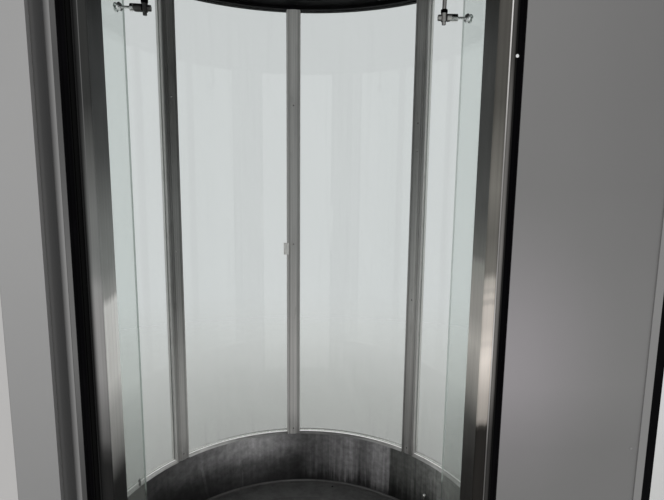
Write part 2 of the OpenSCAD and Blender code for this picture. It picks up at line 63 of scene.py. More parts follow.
def radii(name):
    """The least and the greatest distance of a node's points from the drum's axis."""
    points = np.zeros(len(nodes[name].data.vertices) * 3)
    nodes[name].data.vertices.foreach_get("co", points)
    reach = np.hypot(points[0::3], points[1::3])
    return reach.min(), reach.max()


def heading(name):
    """The angle round the drum of the middle of a node's box, in degrees."""
    low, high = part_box(name)
    return round(math.degrees(math.atan2(low.x + high.x, low.y + high.y)), 2)


# The gap that the source leaves between seated pieces
SEAT = 0.0003
FLOOR_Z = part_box("floor_border")[1].z
KERB_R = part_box("floor_border")[1].x + SEAT
KERB_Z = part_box("kerb_back")[1].z
BEAD_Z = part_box("glazing_beads")[1].z
HEAD_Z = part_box("head_ring")[0].z
HEAD_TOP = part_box("head_ring")[1].z
CEILING_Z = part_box("ceiling_disc")[0].z
CANOPY_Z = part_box("canopy_fascia")[1].z
FACE_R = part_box("mullion_side_right")[0].x
BACK_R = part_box("mullion_side_right")[1].x
MULLION_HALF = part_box("mullion_side_right")[1].y
PANE_IN, PANE_OUT = radii("pane_back_left")
OUTER_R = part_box("canopy_fascia")[1].x
LEAF_OUT = radii("leaf_glass_right")[1]
FRONT_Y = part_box("casing_panel_right")[0].y
JAMB_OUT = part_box("jamb_right")[1].x
SEAL_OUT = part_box("jamb_seals")[1].x
BASE_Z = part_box("base_plate")[1].z
MULLIONS = sorted(heading(n) for n in nodes if n.startswith("mullion_"))
BACK_TURN = heading("mullion_back")
BAY = 45


# Places of the leaves' fittings and of smaller parts, as in the part's source

TRACK_R = 0.653
CLAMP_Z = 2.277
GUIDE_Z = 0.082
# The angle of a parked leaf's rear edge, then the angles from a leaf's edges to its rear rod and its clamps
PARK = 63.6
REAR_LEAD = 1.6
CLAMP_IN = 2.2
FRONT_IN = 3.2
# The angle of the kerb's seams, and the width of the soft strip beside a jamb
SEAM = 37
STRIP_W = 0.012


# Camera, as the photograph was taken: from just outside the doorway, at eye height, tilted down a little

CAMERA_PLACE = (-0.0038, -1.7886, 1.6693)
CAMERA_TURN = 4.044
CAMERA_DOWN = 8.602
CAMERA_ROLL = 0.642
CAMERA_LENS = 27.735


def make_camera():
    """The camera looks along +Y, turned to the right, then tilted down, then rolled about its view."""
    turn, down, roll = (math.radians(a) for a in (CAMERA_TURN, CAMERA_DOWN, CAMERA_ROLL))
    ahead = Vector((math.sin(turn) * math.cos(down), math.cos(turn) * math.cos(down), -math.sin(down)))
    level = Vector((math.cos(turn), -math.sin(turn), 0))
    right = level * math.cos(roll) + level.cross(ahead) * math.sin(roll)
    up = right.cross(ahead)
    data = bpy.data.cameras.new("camera")
    data.lens = CAMERA_LENS
    camera = bpy.data.objects.new("camera", data)
    camera.matrix_world = Matrix.Translation(CAMERA_PLACE) @ Matrix((right, up, -ahead)).transposed().to_4x4()
    bpy.context.scene.collection.objects.link(camera)
    bpy.context.scene.camera = camera


# Shader maths

class Signal:
    """A shader value: Python's operators on it add the Math nodes that do the same sum."""

    def __init__(self, graph, socket):
        self.graph = graph
        self.socket = socket

    def __add__(self, other):
        return self.graph.maths("ADD", self, other)

    def __sub__(self, other):
        return self.graph.maths("SUBTRACT", self, other)

    def __rsub__(self, other):
        return self.graph.maths("SUBTRACT", other, self)

    def __mul__(self, other):
        return self.graph.maths("MULTIPLY", self, other)

    def __truediv__(self, other):
        return self.graph.maths("DIVIDE", self, other)

    def __pow__(self, other):
        return self.graph.maths("POWER", self, other)

    def __gt__(self, other):
        return self.graph.maths("GREATER_THAN", self, other)

    def __lt__(self, other):
        return self.graph.maths("LESS_THAN", self, other)

    def __abs__(self):
        return self.graph.maths("ABSOLUTE", self)

    __radd__ = __add__
    __rmul__ = __mul__


def open_socket(sockets, key):
    """The socket of that name, or number, that the node's settings leave in use."""
    if isinstance(key, int):
        return sockets[key]
    return next(s for s in sockets if s.name == key and not s.is_unavailable)


class Graph:
    """The nodes of a material or a world."""

    def __init__(self, owner):
        owner.use_nodes = True
        self.owner = owner
        self.tree = owner.node_tree
        self.tree.nodes.clear()

    def node(self, kind, settings=None, inputs=None, output=0):
        """Adds a node. Its settings are set first, a ramp's stops among them, then its inputs, each to a
        value or a link."""
        made = self.tree.nodes.new("ShaderNode" + kind)
        for key, value in (settings or {}).items():
            if key == "stops":
                elements = made.color_ramp.elements
                elements.remove(elements[1])
                for i, (place, tone) in enumerate(value):
                    stop = elements.new(place) if i else elements[0]
                    stop.position = place
                    stop.color = (tone, tone, tone, 1)
            else:
                setattr(made, key, value)
        for key, value in (inputs or {}).items():
            socket = open_socket(made.inputs, key)
            if isinstance(value, Signal):
                self.tree.links.new(value.socket, socket)
            elif socket.type == "RGBA":
                socket.default_value = (*value, 1)
            else:
                socket.default_value = value
        return Signal(self, open_socket(made.outputs, output)) if made.outputs else made

    def maths(self, operation, *values):
        return self.node("Math", {"operation": operation}, dict(enumerate(values)))

    def between(self, value, low, high):
        """How far a value is from low to high, from 0 to 1, with soft ends."""
        return self.node("MapRange", {"interpolation_type": "SMOOTHSTEP"},
                         {"Value": value, "From Min": low, "From Max": high})

    def stripe(self, value, middle, half, core):
        """1 near a middle value, as far as core on each side, falling softly to 0 at half."""
        return self.between(abs(value - middle), half, core)

    def tones(self, value, *stops):
        """A tone that goes straight from stop to stop, each a value and a tone."""
        low, high = stops[0][0], stops[-1][0]
        share = self.node("MapRange", inputs={"Value": value, "From Min": low, "From Max": high})
        places = [((v - low) / (high - low), tone) for v, tone in stops]
        return self.node("ValToRGB", {"stops": places}, {0: share})

    def most(self, a, b):
        return self.maths("MAXIMUM", a, b)

    def place(self):
        """Object coordinates as three numbers."""
        return self.axes(self.node("TexCoord", output="Object"))

    def axes(self, vector):
        split = self.node("SeparateXYZ", inputs={"Vector": vector}).socket.node
        return [Signal(self, split.outputs[i]) for i in range(3)]

    def arc(self, x, y, radius):
        """The length s round the drum, at a radius."""
        return self.maths("ARCTAN2", x, y) * radius

    def reach(self, x, y):
        """The distance from the drum's axis."""
        return (x * x + y * y) ** 0.5

    def noise(self, x, y, z, detail=3.0, roughness=0.55):
        """Cloudy noise from 0 to 1, at a place given in noise cells."""
        cell = self.node("CombineXYZ", inputs={"X": x, "Y": y, "Z": z})
        return self.node("TexNoise", inputs={"Vector": cell, "Scale": 1, "Detail": detail,
                                             "Roughness": roughness})

    def mix(self, factor, a, b):
        """A colour between two colours."""
        return self.node("Mix", {"data_type": "RGBA"}, {"Factor": factor, "A": a, "B": b}, output="Result")

    def tint(self, tone, colour):
        """A tone in a colour."""
        return self.node("Mix", {"data_type": "RGBA", "blend_type": "MULTIPLY"},
                         {"Factor": 1.0, "A": tone, "B": colour}, output="Result")

    def slant(self):
        """How far a surface turns away from the eye, from 0 to 1."""
        return self.node("LayerWeight", inputs={"Blend": 0.5}, output="Facing")

    def bump(self, height, depth):
        return self.node("Bump", inputs={"Height": height, "Distance": depth})

    def surface(self, **sockets):
        """A Principled shader, from values or links for its sockets."""
        named = {key.replace("_", " ").title().replace("Ior", "IOR"): value for key, value in sockets.items()}
        return self.node("BsdfPrincipled", inputs=named)

    def shared(self, factor, a, b):
        """One shader in another, by a share."""
        return self.node("MixShader", inputs={0: factor, 1: a, 2: b})

    def done(self, shader, output="OutputMaterial"):
        self.node(output, inputs={"Surface": shader})
        return self.owner


def finish(name):
    return Graph(bpy.data.materials.new(name))


def grey(tone, warm=0.0):
    """A grey of that tone, a little warm or a little cold."""
    return (tone * (1 + warm), tone, tone * (1 - warm))


# Finishes. The stops of their tones are pairs of a place and a tone, or of a place and a share of a tone.
# Many hold the light on a surface as well as its own tone, so they don't change with the lamps

# Tones round the inside of the kerb, by the length s: the room's light and reflections painted in, with some
# dirt.
KERB_LIGHT_AND_DIRT_BANDS = ((-0.8, 0.1), (-0.62, 0.17), (-0.5, 0.26), (-0.38, 0.37), (-0.25, 0.53), (-0.13, 0.38),
              (-0.03, 0.2), (0.03, 0.115), (0.14, 0.125), (0.2, 0.19), (0.29, 0.28), (0.355, 0.15),
              (0.43, 0.3), (0.505, 0.33), (0.515, 0.1), (0.62, 0.14), (0.78, 0.34))
KERB_FADE_LEFT = ((0, 0.07), (0.1, 0.09), (0.22, 0.13), (0.37, 0.2), (0.52, 0.34), (0.7, 0.8), (0.82, 1))
KERB_FADE_RIGHT = ((0, 0.1), (0.1, 0.17), (0.22, 0.42), (0.37, 0.72), (0.52, 0.85), (0.81, 1))
KERB_FADE_PAST_SEAM = ((0, 0.1), (0.22, 0.2), (0.37, 0.45), (0.52, 0.7), (0.81, 1))
# The length s at which the kerb's tones change, beside its right seam
PAST_SEAM = 0.51


def kerb_sheet():
    """Stainless cladding, brushed upright. Inside the drum its tone changes round the kerb in soft bands,
    which are the room's light and reflections painted in, with some dirt, and it darkens towards the foot:
    evenly on the left, in ragged runs on the right, at once past the right seam. Two fine scratches stand on
    the left, the first one leaning. Outside it is even. up is the share of the kerb's height."""
    g = finish("kerb_sheet")
    x, y, z = g.place()
    s = g.arc(x, y, KERB_R)
    up = (z - FLOOR_Z) / (KERB_Z - FLOOR_Z)
    brush = g.noise(s * 800, 0.0, z * 14, 2)
    streak = g.noise(s * 55, 2.0, z * 2.4, 4, 0.6)
    cloud = g.noise(s * 9, 5.0, z * 9, 4)
    blotch = g.noise(s * 32, 8.0, z * 32, 4, 0.6)
    right = g.between(s, 0.0, 0.08)
    moved = up + (cloud - 0.5) * 0.45 + (streak - 0.5) * (right * 0.6 + 0.08)
    fade = g.mix(right, g.tones(moved, *KERB_FADE_LEFT), g.tones(moved, *KERB_FADE_RIGHT))
    fade = g.mix(s > PAST_SEAM, fade, g.tones(moved, *KERB_FADE_PAST_SEAM))
    leaning = g.stripe(s - (0.22 - z) * 0.18, -0.51, 0.009, 0.004) * g.between(z, 0.22, 0.19)
    straight = g.stripe(s, -0.29, 0.005, 0.002) * g.between(z, 0.14, 0.1)
    scratches = 1 + (leaning + straight) * 0.5
    mottle = (1 + (blotch - 0.5) * 1.5) * (1 + (streak - 0.5) * (right * 0.7 + 0.5)) * scratches
    # Inside, the bands are painted light and reflections with some dirt, and the tone darkens towards the
    # foot.
    inside = g.tint(g.tint(g.tones(s, *KERB_LIGHT_AND_DIRT_BANDS), fade), g.mix(mottle * 0.5, grey(0.0), (2.02, 1.97, 2.01)))
    inside = g.mix((s > PAST_SEAM) * 0.8, inside, g.tint(inside, (0.96, 1.0, 0.93)))
    worn = g.between(streak * 0.6 + blotch * 0.4 + up * 0.15, 0.35, 0.7)
    outside = g.mix(worn, grey(0.2, 0.02), grey(0.31, 0.01))
    colour = g.mix(g.between(g.reach(x, y), KERB_R + 0.004, KERB_R + 0.009), inside, outside)
    return g.done(g.surface(
        base_color=g.mix(brush * 0.25, colour, g.tint(colour, grey(1.35))), metallic=0.2,
        roughness=0.4 + cloud * 0.15 + streak * 0.12, specular_ior_level=0.3,
        normal=g.bump(brush * 0.7 + streak * 0.3, 0.0002)))


# Tones of the glazing beads round the drum: the light on them, painted in.
BEAD_LIGHT_TONES = ((-1.2, 0.7), (-0.5, 0.75), (-0.42, 0.62), (-0.3, 0.4), (-0.15, 0.27), (-0.05, 0.2), (0.2, 0.17),
              (0.35, 0.22), (0.45, 0.42), (0.6, 0.47), (0.8, 0.6), (1.2, 0.6))
FOOT_TONES = ((-1.2, 0.13), (1.2, 0.13))


def glazing_trim(name, metal, round_tones):
    """Satin aluminium strip: fine lines along its length, grime in patches, and a tone that changes with the
    length s round the drum, which on the glazing beads is the light on them, painted in."""
    g = finish(name)
    x, y, z = g.place()
    s = g.arc(x, y, KERB_R)
    reach = g.reach(x, y)
    lines = g.noise(reach * 1500, s * 3, z * 1500, 2)
    grime = g.noise(s * 14, reach * 60, z * 60, 4, 0.6)
    tone = g.tones(s, *round_tones)
    colour = g.tint(tone, g.mix(g.between(grime, 0.35, 0.75), (1.03, 1.0, 0.99), (0.58, 0.55, 0.54)))
    return g.done(g.surface(
        base_color=g.mix(lines * 0.2, colour, g.tint(tone, grey(1.2))), metallic=metal,
        roughness=0.32 + grime * 0.25, normal=g.bump(lines, 0.00012)))


def threshold_alloy():
    """Worn mill finish of the threshold: feet have polished the tops of its ribs, dirt fills its grooves."""
    g = finish("threshold_alloy")
    x, y, z = g.place()
    s = g.arc(x, y, KERB_R)
    reach = g.reach(x, y)
    lines = g.noise(reach * 1200, s * 4, z * 1200, 2)
    scuff = g.noise(x * 30, y * 70, z * 30, 5, 0.65)
    deep = g.between(z, FLOOR_Z - 0.0006, FLOOR_Z - 0.0013)
    groove = deep * g.between(reach, OUTER_R - 0.014, OUTER_R - 0.016)
    colour = g.mix(g.between(scuff, 0.35, 0.7), grey(0.36, 0.01), grey(0.2, 0.02))
    colour = g.mix(groove * 0.8, colour, grey(0.05, 0.06))
    return g.done(g.surface(
        base_color=g.mix(lines * 0.2, colour, grey(0.45)), metallic=0.6, roughness=0.34 + scuff * 0.25,
        normal=g.bump(lines + scuff * 0.5, 0.00015)))


# Tones of the mullions inside the drum over the height: the room's light on them, painted in.
MULLION_LEFT_LIGHT_TONES = ((0.2, 0.56), (0.4, 0.66), (0.6, 0.65), (0.8, 0.5), (0.9, 0.4), (1.1, 0.26), (1.3, 0.22),
                      (1.5, 0.21), (1.8, 0.12), (2.08, 0.09), (2.3, 0.16), (2.45, 0.22))
MULLION_BACK_LIGHT_TONES = ((0.25, 0.52), (0.45, 0.63), (0.75, 0.57), (1.0, 0.44), (1.3, 0.365), (2.0, 0.345),
                      (2.2, 0.5), (2.45, 0.72))
MULLION_RIGHT_LIGHT_TONES = ((0.25, 0.33), (0.45, 0.35), (0.75, 0.42), (1.0, 0.42), (1.3, 0.33), (1.55, 0.27),
                       (1.8, 0.19), (2.0, 0.195), (2.15, 0.23), (2.28, 0.34), (2.45, 0.36))


def mullion_aluminium():
    """Extruded, satin anodised aluminium, a little green: drawn lines up its length, darker in its two
    grooves. Inside the drum its tones change with the height, and are darkest near 2 m, most on the left and
    least at the back: the room's light on it, painted in. The side mullions are also painted lighter towards
    one side of their face. turn counts the bays round the drum, near is the nearest mullion's number, and u
    is the distance from that mullion's middle, across its face."""
    g = finish("mullion_aluminium")
    x, y, z = g.place()
    turn = g.maths("ARCTAN2", x, y) / math.radians(BAY)
    near = g.maths("ROUND", turn)
    at_back = abs(near) < 0.5
    reach = g.reach(x, y)
    u = (turn - near - at_back * (BACK_TURN / BAY)) * math.radians(BAY) * reach
    lines = g.noise(u * 1100, near * 7.3, z * 1.2, 3)
    streak = g.noise(u * 260, near * 3.1, z * 0.6, 3, 0.7)
    grime = g.noise(u * 40, near * 5.7, z * 9, 4, 0.65)
    # Painted light: the room's light on each mullion over the height.
    inside = g.mix(turn < -0.5, g.tones(z, *MULLION_BACK_LIGHT_TONES), g.tones(z, *MULLION_LEFT_LIGHT_TONES))
    inside = g.mix(turn > 0.5, inside, g.tones(z, *MULLION_RIGHT_LIGHT_TONES))
    flank = g.mix(g.between(reach, BACK_R - 0.002, BACK_R - 0.0005), grey(0.7), grey(0.42))
    tone = g.mix(g.between(reach, FACE_R + 0.02, FACE_R + 0.008), flank, inside)
    tone = g.mix(g.between(abs(u), 0.0152, 0.013), tone, g.tint(tone, grey(1.08)))
    colour = g.tint(tone, g.mix(g.between(streak, 0.3, 0.7), (0.82, 0.82, 0.8), (1.14, 1.14, 1.11)))
    colour = g.mix(g.between(z, 1.6, 0.8), colour, g.tint(colour, (1.01, 0.985, 0.985)))
    # Painted light: the side mullions are lighter towards one side of their face.
    across = 1 + u * (abs(near) > 0.5) * 3.5
    colour = g.tint(colour, g.mix(across * 0.5, grey(0.0), grey(2.0)))
    colour = g.mix(g.stripe(u, 0.0265, 0.003, 0.001) * at_back * 0.4, colour, grey(0.12))
    colour = g.mix(g.stripe(u, -0.0265, 0.003, 0.001) * at_back * 0.25, colour, grey(0.75))
    colour = g.mix(g.between(grime, 0.55, 0.8) * 0.35, colour, g.tint(colour, grey(0.35, 0.04)))
    foot = g.between(z, KERB_Z + 0.14, KERB_Z) * g.between(grime, 0.3, 0.6)
    sunk = g.between(reach, FACE_R + 0.0035, FACE_R + 0.0042)
    groove = sunk * g.between(reach, FACE_R + 0.006, FACE_R + 0.005)
    colour = g.mix(g.most(foot * 0.35, groove * 0.7), colour, (0.05, 0.05, 0.046))
    return g.done(g.surface(
        base_color=g.mix(lines * 0.25, colour, g.tint(colour, grey(1.3))), metallic=0.3,
        roughness=0.36 + grime * 0.2, normal=g.bump(lines, 0.00015)))


# Tones of the jambs over the height: what the metal mirrors, painted in.
LEFT_FACE_TONES = ((0, 0.015), (1.04, 0.02), (1.07, 0.05), (1.1, 0.13), (1.16, 0.2), (1.24, 0.32),
                   (1.38, 0.34), (1.43, 0.34), (1.46, 0.25), (1.5, 0.22), (1.58, 0.2), (1.66, 0.13),
                   (1.72, 0.085), (1.8, 0.033), (2.4, 0.02))
LEFT_REVEAL_TONES = ((0, 0.01), (0.99, 0.03), (1.04, 0.35), (1.09, 0.5), (1.16, 0.65), (1.22, 1.0),
                     (1.39, 1.0), (1.405, 0.45), (1.46, 0.29), (1.56, 0.22), (1.64, 0.12), (1.7, 0.05),
                     (1.85, 0.01), (2.4, 0.005))
LEFT_EDGE_TONES = ((0, 0.05), (2.4, 0.05))
RIGHT_FACE_TONES = ((0, 0.012), (1.105, 0.022), (1.12, 0.35), (1.18, 0.48), (1.26, 0.85), (1.3, 0.74),
                    (1.34, 0.6), (1.4, 0.62), (1.448, 0.43), (1.456, 0.2), (1.5, 0.17), (1.54, 0.14),
                    (1.64, 0.17), (1.7, 0.13), (1.82, 0.07), (2.4, 0.07))
RIGHT_REVEAL_TONES = ((0, 0.02), (1.0, 0.05), (1.1, 0.07), (1.13, 0.18), (1.18, 0.38), (1.24, 0.55),
                      (1.29, 0.68), (1.35, 0.47), (1.47, 0.38), (1.49, 0.18), (1.54, 0.11), (1.6, 0.06),
                      (1.75, 0.03), (2.4, 0.025))
RIGHT_EDGE_TONES = ((0, 0.1), (1.05, 0.16), (1.18, 0.5), (1.28, 0.75), (1.4, 0.5), (1.5, 0.3), (1.73, 0.42),
                    (1.85, 0.7), (2.0, 0.9), (2.4, 0.9))
# Dark bars on the right face: painted reflections.
RIGHT_REFLECTION_BARS = ((1.395, 0.011, 1.0), (1.42, 0.009, 0.6), (1.3, 0.012, 0.4))


def jamb_steel(name, face, reveal, edge, warm, edge_shade_and_glint=0.0):
    """Bright brushed stainless, brushed up its length. The front face, the reveal and the raised edge each
    take their own tones over the height. They stand for what the metal mirrors, painted in: bright from 1.1
    to 1.5 m, dark below and above, a little greener above 1.4 m. warm holds the warmth of the face and of the
    reveal. The right face shows dark bars, painted reflections, each a height, half its width and its
    strength. The face may darken towards its outer side, a painted shade with a painted glint beside it, by a
    given share."""
    g = finish(name)
    x, y, z = g.place()
    brush = g.noise(x * 1700, y * 1700, z * 5, 3)
    broad = g.noise(x * 130, y * 130, z * 1.1, 2)
    smear = g.noise(x * 25, y * 25, z * 7, 4, 0.6)
    level = z + (broad - 0.5) * 0.02
    bars = sum(g.stripe(level, height, half, 0.002) * strength for height, half, strength in RIGHT_REFLECTION_BARS)
    faced = g.tint(g.tones(level, *face), grey(1.0, warm[0]))
    faced = g.mix(bars * (x > 0) * 0.28, faced, grey(0.14, 0.04))
    turned_in = g.tint(g.tones(level, *reveal), grey(1.0, warm[1]))
    colour = g.mix(g.between(y, FRONT_Y + 0.0045, FRONT_Y + 0.001), turned_in, faced)
    # Greener above about 1.4 m: part of the painted reflection.
    colour = g.mix(g.between(z, 1.38, 1.5), colour, g.tint(colour, (0.955, 1.0, 0.985)))
    colour = g.mix(g.between(broad, 0.35, 0.7) * 0.35, colour, g.tint(colour, grey(0.6)))
    colour = g.tint(colour, grey(1.12))
    raised = g.between(y, FRONT_Y - 0.0008, FRONT_Y - 0.0016)
    colour = g.mix(raised, colour, g.tint(g.tones(z, *edge), grey(1.0, 0.03)))
    outer_side = g.between(abs(x), JAMB_OUT - 0.014, JAMB_OUT - 0.003)
    # Painted shade on the face towards its outer side.
    colour = g.mix(outer_side * edge_shade_and_glint, colour, grey(0.012))
    # A painted highlight line beside that shade, from about 1.5 m up.
    glint = g.stripe(abs(x), JAMB_OUT - 0.0115, 0.0012, 0.0005) * g.between(z, 1.45, 1.6) * edge_shade_and_glint
    colour = g.mix(glint * 0.8, colour, grey(0.13))
    colour = g.mix(g.between(smear, 0.55, 0.8) * 0.25, colour, g.tint(colour, grey(0.5)))
    return g.done(g.surface(
        base_color=g.mix(brush * 0.4, colour, g.tint(colour, grey(0.5))),
        metallic=0.6 * g.most(g.between(z, 1.75, 1.5), raised),
        roughness=0.26 + smear * 0.2 + brush * 0.08, specular_ior_level=0.1, normal=g.bump(brush, 0.00012)))


def post_metal():
    """The same stainless where it faces away from the doorway: even in tone, with a few hand smears."""
    g = finish("post_steel")
    x, y, z = g.place()
    brush = g.noise(x * 1700, y * 1700, z * 5, 3)
    smear = g.noise(x * 25, y * 25, z * 7, 4, 0.6)
    colour = g.mix(g.between(smear, 0.5, 0.8) * 0.4, grey(0.3, 0.03), grey(0.15, 0.04))
    return g.done(g.surface(
        base_color=g.mix(brush * 0.15, colour, grey(0.42, 0.03)), metallic=0.6,
        roughness=0.28 + smear * 0.2, normal=g.bump(brush, 0.00012)))


EVEN_HEIGHTS = ((0, 1.0), (2.4, 1.0))
# Shares of the right panel's tone over the height: the light on it, painted in.
RIGHT_PANEL_LIGHT_HEIGHTS = ((0, 0.97), (1.05, 0.97), (1.2, 1.12), (1.35, 1.06), (1.5, 0.96), (1.65, 0.87),
                       (2.4, 0.87))


def powder_coat(name, tone, warm=0.0, outer_tone=None, low=1.0, heights=EVEN_HEIGHTS, glow=0.0):
    """Baked powder paint: a fine orange peel, faint clouds, light scuffs near the floor. The tone may drift
    to another one outwards along the wall, to a share of itself towards the floor, by shares over the height,
    and round a soft patch of painted light beside the doorway. On the right panel the drift outwards and the
    shares over the height are painted light too."""
    g = finish(name)
    x, y, z = g.place()
    outer_tone = outer_tone or tone
    peel = g.noise(x * 700, y * 700, z * 700, 2)
    cloud = g.noise(x * 2.4, y * 2.4, z * 1.7, 4)
    scuff = g.noise(x * 60, y * 60, z * 9, 4, 0.7)
    colour = g.mix(g.between(abs(x), JAMB_OUT, cad_high[0]), grey(tone, warm), grey(outer_tone, warm))
    colour = g.mix(g.between(z, 1.7, 0.8), colour, grey(outer_tone * low, warm))
    colour = g.tint(colour, g.tones(z, *heights))
    # A soft patch of painted light beside the doorway.
    patch_x, patch_z = 0.45, 1.25
    patch = ((x - patch_x) ** 2 + ((z - patch_z) * 0.8) ** 2) ** 0.5
    colour = g.mix(g.between(patch, 0.32, 0.0) * glow, colour, g.tint(colour, (1.39, 1.33, 1.4)))
    colour = g.mix(g.between(cloud, 0.3, 0.7) * 0.16, colour, g.tint(colour, grey(0.72)))
    worn = g.between(z, 0.4, 0.02) * g.between(scuff, 0.5, 0.72)
    colour = g.mix(worn * 0.45, colour, grey(tone * 0.45, 0.06))
    return g.done(g.surface(
        base_color=colour, metallic=0.0, roughness=0.42 + cloud * 0.12 + worn * 0.2,
        normal=g.bump(peel, 0.00006)))


# Tones of the left trim across and over its height: its light and shade, painted in.
TRIM_TONES = ((0, 0.11), (8.5, 0.1), (10, 0.17), (11, 0.235), (13, 0.22), (16, 0.16), (20, 0.1), (24, 0.04),
              (28, 0.02), (34, 0.018), (40, 0.028), (45, 0.042), (50, 0.085), (56, 0.11))
TRIM_LIP_TONES = ((0.9, 0.035), (1.0, 0.04), (1.07, 0.05), (1.29, 0.112), (1.5, 0.1), (1.7, 0.062),
                  (1.865, 0.045), (1.95, 0.06), (2.4, 0.05))
TRIM_HEIGHTS = ((1.05, 0.72), (1.3, 0.85), (1.5, 0.9), (1.73, 0.8), (1.9, 0.78), (2.4, 0.78))


def trim_coat():
    """Satin grey paint of the left trim, its shading painted in: light where its shoulder turns to the front,
    dark where it turns away and in the channel beside it. The lip next to the seal takes its own tones over
    the height, and the rest takes shares of its tone over the height; these are painted light too. v is the
    distance from the seal, across the wall, in millimetres."""
    g = finish("trim_paint")
    x, y, z = g.place()
    peel = g.noise(x * 700, y * 700, z * 700, 2)
    cloud = g.noise(x * 9, y * 9, z * 2.2, 4)
    v = (abs(x) - SEAL_OUT) * 1000
    shaded = g.tint(g.tones(v, *TRIM_TONES), g.tones(z, *TRIM_HEIGHTS))
    tone = g.mix(g.between(v, 9.5, 8.5), shaded, g.tones(z, *TRIM_LIP_TONES))
    colour = g.tint(tone, g.mix(cloud * 0.3, grey(1.05, 0.01), grey(0.85, 0.01)))
    return g.done(g.surface(
        base_color=colour, metallic=0.0, roughness=0.42 + cloud * 0.12, normal=g.bump(peel, 0.00006)))


def moulded_rubber(name, tone):
    """Extruded rubber: faint lines along its length, dust on its proud parts, a dull bloom."""
    g = finish(name)
    x, y, z = g.place()
    lines = g.noise(x * 900, y * 900, z * 3, 2)
    bloom = g.noise(x * 30, y * 30, z * 5, 4)
    colour = g.mix(g.between(bloom, 0.45, 0.8), (tone, tone * 0.9, tone * 1.2), grey(tone * 3))
    return g.done(g.surface(
        base_color=colour, roughness=0.5 + bloom * 0.25, specular_ior_level=0.03,
        normal=g.bump(lines, 0.0002)))


STRIP_LIGHT = ((1.05, 0.15), (1.1, 0.2), (1.2, 0.6), (1.35, 0.62), (1.5, 0.82), (1.65, 0.62), (1.8, 0.55),
               (1.9, 0.26), (2.4, 0.26))


def door_seals():
    """The seals beside the jambs: a soft round strip, on the right with the grey light on it painted in and
    fading to black away from the jamb, then flat black rubber. v is how far a point is from the strip's
    middle, across the wall, as a share of its half width."""
    g = finish("door_seals")
    x, y, z = g.place()
    lines = g.noise(x * 900, y * 900, z * 3, 2)
    bloom = g.noise(x * 30, y * 30, z * 5, 4)
    v = (abs(x) - (JAMB_OUT + STRIP_W / 2)) / (STRIP_W / 2)
    crown = g.between(v, 1.5, -0.7) * (x > 0) * g.tones(z, *STRIP_LIGHT)
    black = g.mix(g.between(bloom, 0.45, 0.8), (0.0012, 0.0011, 0.0015), (0.003, 0.0028, 0.0034))
    soft = g.mix(crown, grey(0.0025), g.mix(bloom, grey(0.2, 0.04), grey(0.3, 0.04)))
    return g.done(g.surface(
        base_color=g.mix(g.between(v, 1.7, 1.0), black, soft), roughness=0.5 + bloom * 0.25,
        specular_ior_level=0.03, normal=g.bump(lines, 0.0002)))


def black_paint():
    """Satin black paint on the head: fine grain and a little settled dust."""
    g = finish("black_paint")
    x, y, z = g.place()
    peel = g.noise(x * 500, y * 500, z * 500, 2)
    dust = g.noise(x * 12, y * 12, z * 12, 5, 0.6)
    colour = g.mix(g.between(dust, 0.45, 0.8), (0.006, 0.006, 0.0064), (0.012, 0.012, 0.0125))
    return g.done(g.surface(
        base_color=colour, roughness=0.4 + dust * 0.25, specular_ior_level=0.02,
        normal=g.bump(peel, 0.00008)))


def floor_rubber():
    """Dark rubber floor: a fine grain, worn paler where people walk, grit near the kerb."""
    g = finish("floor_rubber")
    x, y, z = g.place()
    grain = g.noise(x * 420, y * 420, z * 420, 2)
    wear = g.noise(x * 4, y * 9, z, 5, 0.6)
    grit = g.node("TexVoronoi", inputs={"Vector": g.node("TexCoord", output="Object"), "Scale": 210.0},
                  output="Distance")
    colour = g.mix(g.between(wear, 0.35, 0.75), (0.078, 0.076, 0.076), (0.14, 0.138, 0.137))
    colour = g.mix(g.between(grit, 0.16, 0.08) * g.between(wear, 0.5, 0.65), colour, (0.15, 0.145, 0.135))
    return g.done(g.surface(
        base_color=g.mix(grain * 0.3, colour, (0.095, 0.093, 0.092)), roughness=0.62 + wear * 0.2,
        normal=g.bump(grain + grit * 0.3, 0.0005)))


def floor_steel():
    """Dark worn steel of the track and the border: rub marks that run round the drum, dirt in patches."""
    g = finish("floor_steel")
    x, y, z = g.place()
    rub = g.noise(g.reach(x, y) * 900, g.arc(x, y, KERB_R) * 5, z * 300, 3)
    dirt = g.noise(x * 22, y * 22, z * 22, 5, 0.62)
    colour = g.mix(g.between(dirt, 0.35, 0.7), grey(0.15, 0.01), grey(0.11, 0.01))
    colour = g.mix(g.between(rub, 0.55, 0.8) * 0.4, colour, grey(0.2, 0.01))
    return g.done(g.surface(
        base_color=colour, metallic=0.4, roughness=0.45 + dirt * 0.3, normal=g.bump(rub, 0.0002)))


def fitting_chrome(name, bright, dull, rim=1.0, metal=1.0, arm=OUTER_R):
    """Turned and polished steel: faint turning marks, finger film. rim is the share of its colour that is
    left where it turns away from the eye, so that this shade moves with the camera. Past a distance from the
    drum's axis, where an arm reaches out to its leaf, it is pale."""
    g = finish(name)
    x, y, z = g.place()
    marks = g.noise(x * 300, y * 300, z * 2600, 2)
    film = g.noise(x * 60, y * 60, z * 60, 4, 0.6)
    colour = g.mix(g.between(film, 0.4, 0.8), grey(bright, 0.02), grey(dull, 0.05))
    colour = g.mix(g.between(g.slant(), 0.02, 0.3), colour, g.tint(colour, grey(rim)))
    out = g.between(g.reach(x, y), arm, arm + 0.003)
    return g.done(g.surface(
        base_color=g.mix(out, colour, grey(0.95)), metallic=g.most(metal, out), roughness=0.1 + film * 0.18,
        normal=g.bump(marks, 0.00003)))


